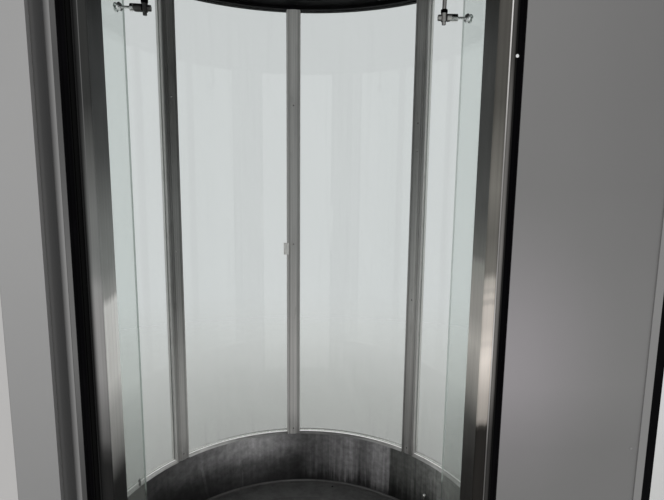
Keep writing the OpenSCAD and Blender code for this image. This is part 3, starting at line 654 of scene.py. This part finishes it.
def canopy_sheet():
    """Coated aluminium sheet of the canopy: faint rolling lines, rain marks down the wall, settled dust and
    the joints between its sheets on top."""
    g = finish("canopy_sheet")
    x, y, z = g.place()
    facing_up = g.axes(g.node("TexCoord", output="Normal"))[2]
    s = g.arc(x, y, OUTER_R)
    sheet_width = 0.55
    rolled = g.noise(s * 6, z * 700, 0.0, 2)
    rain = g.noise(s * 40, 3.0, z * 3, 4, 0.6)
    settled = g.noise(x * 9, y * 9, z * 9, 6, 0.6)
    top = g.between(facing_up, 0.4, 0.8)
    colour = g.mix(g.between(rain, 0.5, 0.8) * 0.35, grey(0.27, -0.01), grey(0.17, 0.03))
    colour = g.mix(top * g.between(settled, 0.25, 0.75) * 0.5, colour, (0.2, 0.185, 0.155))
    joint = g.stripe(g.maths("FRACT", x / sheet_width + 0.5), 0.5, 0.006, 0.003) * top
    colour = g.mix(joint * 0.8, colour, grey(0.05))
    return g.done(g.surface(
        base_color=g.mix(rolled * 0.12, colour, grey(0.36)), metallic=0.35,
        roughness=0.4 + rain * 0.15 + top * 0.2, normal=g.bump(rolled - joint * 3, 0.0001)))


def base_paint():
    """Dark primer on the base plate, rubbed and gritty."""
    g = finish("base_paint")
    x, y, z = g.place()
    rub = g.noise(x * 30, y * 30, z * 30, 6, 0.65)
    grain = g.noise(x * 600, y * 600, z * 600, 2)
    colour = g.mix(g.between(rub, 0.5, 0.75), (0.03, 0.03, 0.033), (0.1, 0.095, 0.088))
    return g.done(g.surface(
        base_color=colour, metallic=0.2, roughness=0.55 + rub * 0.2, normal=g.bump(grain, 0.0001)))


def grey_plastic():
    """Pale moulded plastic with a spark finish, a little dusty."""
    g = finish("grey_plastic")
    x, y, z = g.place()
    spark = g.noise(x * 1500, y * 1500, z * 1500, 2)
    dust = g.noise(x * 90, y * 90, z * 60, 4)
    colour = g.mix(g.between(dust, 0.4, 0.75), (0.7, 0.7, 0.685), (0.52, 0.51, 0.49))
    return g.done(g.surface(
        base_color=colour, roughness=0.5 + dust * 0.2, normal=g.bump(spark, 0.00008)))


def silicone(name, clean, dirty, lit=0.0):
    """Silicone along the edges of the panes, with a tooled, slightly wavy skin. It may glow a little, a
    painted light that makes its thin line bright."""
    g = finish(name)
    x, y, z = g.place()
    wave = g.noise(x * 110, y * 110, z * 110, 3)
    dirt = g.noise(x * 35, y * 35, z * 35, 4)
    colour = g.mix(g.between(dirt, 0.5, 0.8), grey(clean, 0.01), grey(dirty, 0.05))
    return g.done(g.surface(
        base_color=colour, roughness=0.3 + dirt * 0.2, emission_color=grey(1.0, 0.01), emission_strength=lit,
        normal=g.bump(wave, 0.0004)))


def glass(name, haze, wipe):
    """Clear glass with a green body. Its two broad faces look along the drum's radius and let light through,
    with a film of dust that thickens towards the floor and follows the strokes of a cloth. Its edges show
    green: paler on the right, painted light, and dark below the kerb's top, painted shade. haze is the film's
    strength, and wipe picks its own strokes."""
    g = finish(name)
    x, y, z = g.place()
    nx, ny, nz = g.axes(g.node("TexCoord", output="Normal"))
    broad = g.between(abs(nx * x + ny * y) / g.reach(x, y), 0.3, 0.6)
    s = g.arc(x, y, PANE_IN)
    cloth = g.noise(s * 7 + z * 2.5, wipe, z * 1.3, 5, 0.6)
    runs = g.noise(s * 30, wipe, z * 1.1, 4, 0.6)
    speck = g.noise(x * 160, y * 160, z * 160, 2, 0.5)
    low = g.between(z + (cloth - 0.5) * 0.25, KERB_Z + 0.55, KERB_Z - 0.05)
    spots = g.between(speck, 0.62, 0.75) * 0.5 * low
    dust = haze * (0.1 + cloth * 0.3 + low * 1.8 + g.between(runs, 0.5, 0.85) * (0.25 + low * 0.6) + spots)
    clear = g.node("BsdfTransparent", inputs={"Color": (0.95, 0.966, 0.958)})
    mirror = g.surface(base_color=(0.93, 0.95, 0.94), metallic=1.0, roughness=0.02)
    film = g.surface(base_color=g.mix(low, (0.46, 0.5, 0.48), (0.58, 0.58, 0.55)), roughness=0.75)
    pane = g.shared(g.slant() ** 5 * 0.9 + 0.035, clear, mirror)
    pane = g.shared(dust, pane, film)
    # Edge green, painted light: darker on the left, paler on the right.
    shaded_left_green = g.mix(cloth, (0.42, 0.5, 0.46), (0.6, 0.66, 0.63))
    lit_right_green = g.mix(cloth, (0.75, 0.82, 0.79), (0.88, 0.92, 0.9))
    green = g.mix(x > 0, shaded_left_green, lit_right_green)
    # Painted shade: the edges are dark below the kerb's top.
    green = g.mix(g.between(z, KERB_Z, KERB_Z - 0.03), green, (0.14, 0.17, 0.16))
    edge = g.shared(0.22, g.surface(base_color=green, roughness=0.14), clear)
    return g.done(g.shared(broad, edge, pane))


def paint_nodes(material, *names):
    """Gives CAD nodes a material."""
    for name in names:
        data = nodes[name].data
        data.materials.clear()
        data.materials.append(material)


# Shapes

def loft(loops, closed=False):
    """A solid's points and faces from a stack of loops, an array of (loops, points round a loop, 3).
    Quads join each loop to the next. The ends are capped, unless the stack closes on itself."""
    count, around = loops.shape[:2]
    rows = np.arange(count * around).reshape(count, around)
    low, high = (rows, np.roll(rows, -1, axis=0)) if closed else (rows[:-1], rows[1:])
    quads = np.stack([low, np.roll(low, -1, axis=1), np.roll(high, -1, axis=1), high], axis=-1)
    faces = quads.reshape(-1, 4).tolist()
    if not closed:
        faces += [rows[0][::-1].tolist(), rows[-1].tolist()]
    return loops.reshape(-1, 3), faces


def turned(angle, across, outwards, height):
    """Points given across and outwards at a place round the drum, put in the frame. At an angle t, x is
    across * cos(t) + outwards * sin(t), and y is outwards * cos(t) - across * sin(t)."""
    turn, across, outwards, height = np.broadcast_arrays(np.radians(angle), across, outwards, height)
    return np.stack([across * np.cos(turn) + outwards * np.sin(turn),
                     outwards * np.cos(turn) - across * np.sin(turn), height], axis=-1)


def band(section, start, end, step=1.5):
    """A section of (radius, height) points swept round the drum's axis from one angle to another, in even
    steps of about the one given."""
    radius, height = np.array(section).T
    turns = np.linspace(start, end, max(2, round((end - start) / step) + 1))[:, None]
    return loft(turned(turns, 0.0, radius[None], height[None]))


def upright(angle, outline, low, high):
    """An outline of (across, outwards) points at a place round the drum, drawn out between two heights."""
    across, outwards = np.array(outline).T
    return loft(turned(angle, across[None], outwards[None], np.array([[low], [high]])))


def set_on(local, places, facings, closed=False):
    """Copies of a local shape (loops, points, 3), one at each place, their third axis along its facing."""
    solids = []
    for place, facing in zip(places, facings):
        out = Vector(facing).normalized()
        side = out.cross(Vector((0, 0, 1)) if abs(out.z) < 0.9 else Vector((0, 1, 0))).normalized()
        local_axes = np.array([side, out.cross(side), out])
        solids.append(loft(local @ local_axes + np.array(place), closed))
    return solids


def turned_ring(section, around=40):
    """A section of (radius, height) points turned round a local axis, as loops for a closed loft."""
    radius, height = np.array(section).T[:, None, :]
    turn = np.radians(np.arange(around) * 360 / around)[:, None]
    return np.stack([radius * np.cos(turn), radius * np.sin(turn), height + 0 * turn], axis=-1)


def screw_head(radius, height, recess=0.6):
    """A domed head. At a share p of the radius its height is height * sqrt(1 - 0.9 p^2), less a cross whose
    arms are a quarter of the radius wide and end at 0.62 of it. The last loops go just under the surface it
    sits on."""
    share = np.array([0.0, 0.12, 0.25, 0.38, 0.5, 0.6, 0.7, 0.85, 0.96, 1.0, 1.0])[:, None]
    angle = np.radians(np.arange(0, 360, 11.25))[None]
    x, y = share * np.cos(angle), share * np.sin(angle)
    top = height * np.sqrt(1 - 0.9 * share ** 2)
    arm = np.clip(1.6 - np.minimum(abs(x), abs(y)) / 0.09, 0, 1) * np.clip((0.68 - share) / 0.1, 0, 1)
    z = top - recess * height * arm
    z[-2:] = [[0.0], [-height / 3]]
    return np.stack([radius * x, radius * y, z], axis=-1)


def socket_cap(radius, height):
    """A round cap with a bevelled rim and a hexagon socket: circles up the outside, hexagons down the inside.
    Each loop is a shape, a share of the radius and a share of the height."""
    angle = np.radians(np.arange(0, 360, 15))
    circle = np.stack([np.cos(angle), np.sin(angle)], axis=-1)
    hexagon = circle * (0.5 / np.cos((angle + math.pi / 6) % (math.pi / 3) - math.pi / 6))[:, None]
    steps = [(circle, 1.0, -0.1), (circle, 1.0, 0.8), (circle, 0.88, 1.0), (hexagon, 1.0, 1.0),
             (hexagon, 0.96, 0.3), (hexagon, 0.0, 0.22)]
    return np.array([[(*(radius * scale * p), height * z) for p in shape] for shape, scale, z in steps])


def make_piece(name, solids, material, body="drum", sharp=35):
    """Joins solids into one mesh, faces outwards and sharp edges kept, and lets it ride on a body."""
    points, faces, start = [], [], 0
    for solid_points, solid_faces in solids:
        points.append(solid_points)
        faces += [[start + i for i in face] for face in solid_faces]
        start += len(solid_points)
    mesh = bpy.data.meshes.new(name)
    mesh.from_pydata(np.concatenate(points), [], faces)
    work = bmesh.new()
    work.from_mesh(mesh)
    bmesh.ops.remove_doubles(work, verts=work.verts, dist=1e-6)
    bmesh.ops.recalc_face_normals(work, faces=work.faces)
    work.to_mesh(mesh)
    work.free()
    mesh.polygons.foreach_set("use_smooth", np.ones(len(mesh.polygons), dtype=bool))
    mesh.set_sharp_from_angle(angle=math.radians(sharp))
    mesh.materials.append(material)
    piece = bpy.data.objects.new(name, mesh)
    bpy.context.scene.collection.objects.link(piece)
    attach(piece, body)


def round_places(angles, radius, heights):
    """Places round the drum, one at each height for each angle."""
    return [turned(a, 0.0, radius, z) for a in angles for z in heights]


def inwards(places):
    return [(-p[0], -p[1], 0) for p in places]


def outwards_from(places):
    return [(p[0], p[1], 0) for p in places]


def panes():
    """The angles of the two mullions beside each pane."""
    return zip(MULLIONS[:-1], MULLIONS[1:])


# Studio

def make_floor(half=9.0, fade=(1.6, 5.5)):
    """A pale floor that fades into the backdrop between two distances from the drum's axis."""
    floor = bpy.data.meshes.new("studio_floor")
    corners = [(-half, -half, 0), (half, -half, 0), (half, half, 0), (-half, half, 0)]
    floor.from_pydata(corners, [], [(0, 1, 2, 3)])
    g = finish("studio_floor")
    x, y, z = g.place()
    cloud = g.noise(x * 1.5, y * 1.5, 0.0, 3)
    shade = g.surface(base_color=g.mix(cloud, (0.66, 0.66, 0.65), (0.72, 0.72, 0.71)), roughness=0.8)
    far = g.between(g.reach(x, y), *fade)
    floor.materials.append(g.done(g.shared(far, shade, g.node("BsdfTransparent"))))
    stage = bpy.data.objects.new("studio_floor", floor)
    bpy.context.scene.collection.objects.link(stage)


def make_backdrop():
    """A soft, even light, and a pale backdrop that camera, mirror and glass rays see in its place."""
    world = Graph(bpy.data.worlds.new("studio"))
    rays = world.node("LightPath").socket.node.outputs
    camera, mirrored, passed = (
        Signal(world, rays[n]) for n in ("Is Camera Ray", "Is Glossy Ray", "Is Transmission Ray"))
    seen = world.most(world.most(camera, mirrored), passed)
    soft = world.node("Background", inputs={"Color": (1.0, 1.0, 1.0), "Strength": 0.65})
    shown = world.node("Background", inputs={"Color": (0.7, 0.71, 0.72), "Strength": 1.0})
    bpy.context.scene.world = world.done(world.shared(seen, soft, shown), "OutputWorld")


def make_lamp(name, place, aim, size, power):
    """A rectangular lamp that mirrors don't show."""
    data = bpy.data.lights.new(name, "AREA")
    data.shape = "RECTANGLE"
    data.size, data.size_y = size
    data.energy = power
    lamp = bpy.data.objects.new(name, data)
    lamp.visible_glossy = False
    lamp.location = place
    lamp.rotation_euler = (Vector(aim) - Vector(place)).to_track_quat("-Z", "Y").to_euler()
    bpy.context.scene.collection.objects.link(lamp)


make_camera()
make_floor()
make_backdrop()
make_lamp("front", place=(-0.6, -6.5, 2.6), aim=(0, 0, 1.0), size=(4.0, 2.6), power=150)
make_lamp("back", place=(0.5, 5.5, 3.4), aim=(0, 0, 1.2), size=(3.0, 2.0), power=70)
bpy.context.scene.view_settings.view_transform = "Standard"


# Materials of the CAD nodes

kerb_steel = kerb_sheet()
post_steel = post_metal()
rubber = moulded_rubber("black_rubber", tone=0.0015)
head_black = black_paint()
chrome = fitting_chrome("fitting_chrome", bright=0.44, dull=0.2)
pale_chrome = fitting_chrome("pale_chrome", bright=0.95, dull=0.85)
guide_chrome = fitting_chrome("guide_chrome", bright=0.95, dull=0.8, rim=0.5)
# The right leaf's rods are pale and little metal, and the left leaf's hangers dark: the pale and the dark of
# the room that these fittings mirror, painted into their colour.
rod_chrome = fitting_chrome("rod_chrome", bright=0.95, dull=0.8, rim=0.08, metal=0.35, arm=0.668)
hanger_chrome = fitting_chrome("hanger_chrome", bright=0.16, dull=0.1, rim=0.4, metal=0.6, arm=0.68)
dark_chrome = fitting_chrome("dark_chrome", bright=0.16, dull=0.1, rim=0.4, metal=0.6)
sheet = canopy_sheet()
pane_clear = glass("pane_glass", haze=0.085, wipe=1.0)
leaf_clear = glass("leaf_glass", haze=0.1, wipe=4.0)
strip_paint = powder_coat("edge_strip_paint", tone=0.2, warm=0.012)
jamb_left_steel = jamb_steel(
    "jamb_left_steel", face=LEFT_FACE_TONES, reveal=LEFT_REVEAL_TONES, edge=LEFT_EDGE_TONES,
    warm=(0.02, 0.03), edge_shade_and_glint=0.95)
jamb_right_steel = jamb_steel(
    "jamb_right_steel", face=RIGHT_FACE_TONES, reveal=RIGHT_REVEAL_TONES, edge=RIGHT_EDGE_TONES,
    warm=(0.09, 0.07))
# The right panel: its drift outwards, its shares over the height and its pale patch are painted light.
right_paint = powder_coat(
    "right_panel_paint", tone=0.19, warm=0.012, outer_tone=0.155, heights=RIGHT_PANEL_LIGHT_HEIGHTS, glow=1.0)
left_paint = powder_coat("left_panel_paint", tone=0.31, warm=0.006, low=0.72)
side_paint = powder_coat("side_panel_paint", tone=0.46, warm=0.015)
bead_aluminium = glazing_trim("bead_aluminium", metal=0.2, round_tones=BEAD_LIGHT_TONES)
foot_aluminium = glazing_trim("foot_aluminium", metal=0.7, round_tones=FOOT_TONES)

paint_nodes(kerb_steel, "kerb_back", "kerb_left", "kerb_right")
paint_nodes(bead_aluminium, "glazing_beads")
paint_nodes(foot_aluminium, "kerb_foot_moulding")
paint_nodes(mullion_aluminium(), *(n for n in nodes if n.startswith("mullion_")))
paint_nodes(pane_clear, *(n for n in nodes if n.startswith("pane_")))
paint_nodes(leaf_clear, "leaf_glass_left", "leaf_glass_right")
paint_nodes(rod_chrome, "leaf_hangers_right")
paint_nodes(guide_chrome, "leaf_guides_left", "leaf_guides_right")
paint_nodes(hanger_chrome, "leaf_hangers_left")
paint_nodes(jamb_left_steel, "jamb_left")
paint_nodes(jamb_right_steel, "jamb_right")
paint_nodes(post_steel, "jamb_post_left", "jamb_post_right", "head_cheeks")
paint_nodes(rubber, "casing_gaskets")
paint_nodes(moulded_rubber("stop_rubber", tone=0.06), "leaf_stop")
paint_nodes(door_seals(), "jamb_seals")
paint_nodes(threshold_alloy(), "threshold")
paint_nodes(head_black, "head_ring", "ceiling_disc", "ceiling_border", "ceiling_track")
paint_nodes(sheet, "canopy_fascia", "canopy_top")
paint_nodes(floor_rubber(), "floor_disc")
paint_nodes(floor_steel(), "floor_track", "floor_border")
paint_nodes(base_paint(), "base_plate")
paint_nodes(grey_plastic(), "sensor_box")
paint_nodes(right_paint, "casing_panel_right")
paint_nodes(left_paint, "casing_panel_left")
paint_nodes(side_paint, "casing_side_panel_left")
paint_nodes(trim_coat(), "casing_trim_left")
paint_nodes(strip_paint, "casing_edge_strips")


# Pieces

def make_mullion_screws():
    """Screws down the inner and outer faces of the mullions. The right one shows one more than the others."""
    heights = {turn: (0.323, 1.311, 1.988) for turn in MULLIONS}
    heights[BAY] = (0.323, 1.076, 1.768, 1.893)
    inner = [p for turn in MULLIONS for p in round_places([turn], FACE_R, heights[turn])]
    outer = round_places(MULLIONS, BACK_R, (0.4, 1.0, 1.6, 2.2))
    head = screw_head(radius=0.0035, height=0.0016)
    make_piece("mullion_screws", set_on(head, inner + outer, inwards(inner) + outwards_from(outer)), chrome)


def make_floor_screws():
    """Flat screws in the floor border, with a deep cross."""
    border_r = 0.729
    places = round_places([15, 105, -75, -165], border_r, [FLOOR_Z])
    head = screw_head(radius=0.0055, height=0.0009, recess=1.2)
    make_piece("floor_screws", set_on(head, places, [(0, 0, 1)] * len(places)), head_black)


def make_ceiling_screws():
    """Two rings of screws in the ceiling, one on each side of its track."""
    disc_r, border_r = 0.615, 0.741
    places = round_places(range(15, 375, 30), disc_r, [CEILING_Z])
    places += round_places(range(0, 360, 30), border_r, [CEILING_Z])
    head = screw_head(radius=0.005, height=0.0012)
    make_piece("ceiling_screws", set_on(head, places, [(0, 0, -1)] * len(places)), dark_chrome)


def make_casing_rivets():
    """Rivets near the outer edges of the casing."""
    rivet_x = 0.7705
    places = [(side * rivet_x, FRONT_Y, z) for side in (-1, 1) for z in (0.145, 1.045, 1.945, 2.6)]
    head = screw_head(radius=0.0032, height=0.0014, recess=0)
    make_piece("casing_rivets", set_on(head, places, [(0, -1, 0)] * len(places)), strip_paint)


def make_seal_screw():
    """The screw on the seal beside the right jamb. Its shank goes down to the rubber's hollow."""
    shank = 0.0035
    head = screw_head(radius=0.0036, height=0.0015)
    head[-1, :, 2] = -shank
    place = (JAMB_OUT + 0.0145, FRONT_Y + 0.002, 1.907)
    make_piece("seal_screw", set_on(head, [place], [(0, -1, 0)]), dark_chrome)


def make_canopy_rivets():
    """Rivets in pairs along the joints of the canopy's wall."""
    joints = range(-135, 225, BAY)
    aside = 0.9
    heights = np.linspace(HEAD_TOP + 0.022, CANOPY_Z - 0.04, 4)
    places = round_places([joint + side * aside for joint in joints for side in (-1, 1)], OUTER_R, heights)
    head = screw_head(radius=0.003, height=0.0012, recess=0)
    make_piece("canopy_rivets", set_on(head, places, outwards_from(places)), sheet)


# How far the silicone beside a mullion reaches, along the pane and off it
GASKET = 0.003


def make_pane_gaskets():
    """Pale silicone in the corners between the mullions and the panes, inside and outside: a hollow fillet
    that follows the pane's curve on one side, and outside keeps within the mullion's back."""
    solids = []
    x = MULLION_HALF
    for left, right in panes():
        for turn, side in ((left, 1), (right, -1)):
            for level, out in ((PANE_IN, -1), (PANE_OUT, 1)):
                y0, y1 = (math.sqrt(level ** 2 - v ** 2) for v in (x, x + GASKET))
                reach = min(GASKET, BACK_R - 0.0005 - y0) if out > 0 else GASKET
                outline = [(x, y0), (x, y0 + out * reach), (x + GASKET * 0.45, y0 + out * reach * 0.75),
                           (x + GASKET * 0.8, y0 + out * reach * 0.4), (x + GASKET, y1)]
                solids.append(upright(turn, [(side * u, v) for u, v in outline], BEAD_Z - 0.001, HEAD_Z))
    make_piece("pane_gaskets", solids, silicone("pale_silicone", clean=0.6, dirty=0.45))


def make_pane_silicone():
    """Silicone along the foot of each pane, inside and outside: a hollow fillet between pane and bead."""
    fillet = 0.003
    under = 0.001
    mullion_turn = math.degrees(math.asin((MULLION_HALF + GASKET) / PANE_IN))
    solids = []
    for left, right in panes():
        for level, out in ((PANE_IN, -1), (PANE_OUT, 1)):
            section = [(level, BEAD_Z - under), (level, BEAD_Z + fillet),
                       (level + out * fillet * 0.4, BEAD_Z + fillet * 0.45),
                       (level + out * fillet, BEAD_Z), (level + out * fillet, BEAD_Z - under)]
            solids.append(band(section, left + mullion_turn, right - mullion_turn))
    # The foot silicone glows a little: painted light.
    make_piece("pane_silicone", solids, silicone("silicone", clean=0.85, dirty=0.65, lit=0.3))


def make_kerb_laps():
    """Laps over the kerb's seams, inside and outside, with a sloped top. They start a little before a seam,
    and the right one reaches further past its own. Inside they stand on the moulding at the kerb's foot."""
    thick = 0.0012
    moulding_height = 0.011
    before = 0.45
    solids = []
    for turn, past in ((-SEAM, 0.45), (SEAM, 1.65)):
        for level, out, foot in ((KERB_R, -1, FLOOR_Z + moulding_height), (OUTER_R, 1, BASE_Z)):
            section = [(level, foot), (level + out * thick, foot), (level + out * thick, KERB_Z - thick),
                       (level, KERB_Z)]
            solids.append(band(section, turn - before, turn + past, step=0.3))
    make_piece("kerb_laps", solids, kerb_steel)


def make_clamp_caps(name, turns):
    """Caps on the bolts that hold a leaf's glass, at its clamps and its guides."""
    disc_face = LEAF_OUT + 0.0055
    places = round_places(turns, disc_face, (CLAMP_Z, GUIDE_Z))
    cap = socket_cap(radius=0.0085, height=0.004)
    make_piece("clamp_caps_" + name, set_on(cap, places, outwards_from(places)), pale_chrome,
               name + "_leaf")


def make_rod_collars(name, turns):
    """A dark collar on each rod of a leaf, above its clamp."""
    inner, outer, tall = 0.0081, 0.0134, 0.0125
    ring = turned_ring([(inner, 0.0), (outer - 0.0009, 0.0), (outer, 0.001), (outer, tall - 0.0015),
                        (outer - 0.0012, tall), (inner, tall)])
    places = round_places(turns, TRACK_R, [CLAMP_Z + 0.018])
    make_piece("rod_collars_" + name, set_on(ring, places, [(0, 0, 1)] * len(places), closed=True), rubber,
               name + "_leaf")


make_mullion_screws()
make_floor_screws()
make_ceiling_screws()
make_casing_rivets()
make_seal_screw()
make_canopy_rivets()
make_pane_gaskets()
make_pane_silicone()
make_kerb_laps()
for side, name in ((-1, "left"), (1, "right")):
    front = side * (PARK + BAY - FRONT_IN)
    make_clamp_caps(name, [side * (PARK + CLAMP_IN), front])
    make_rod_collars(name, [side * (PARK - REAR_LEAD), front])
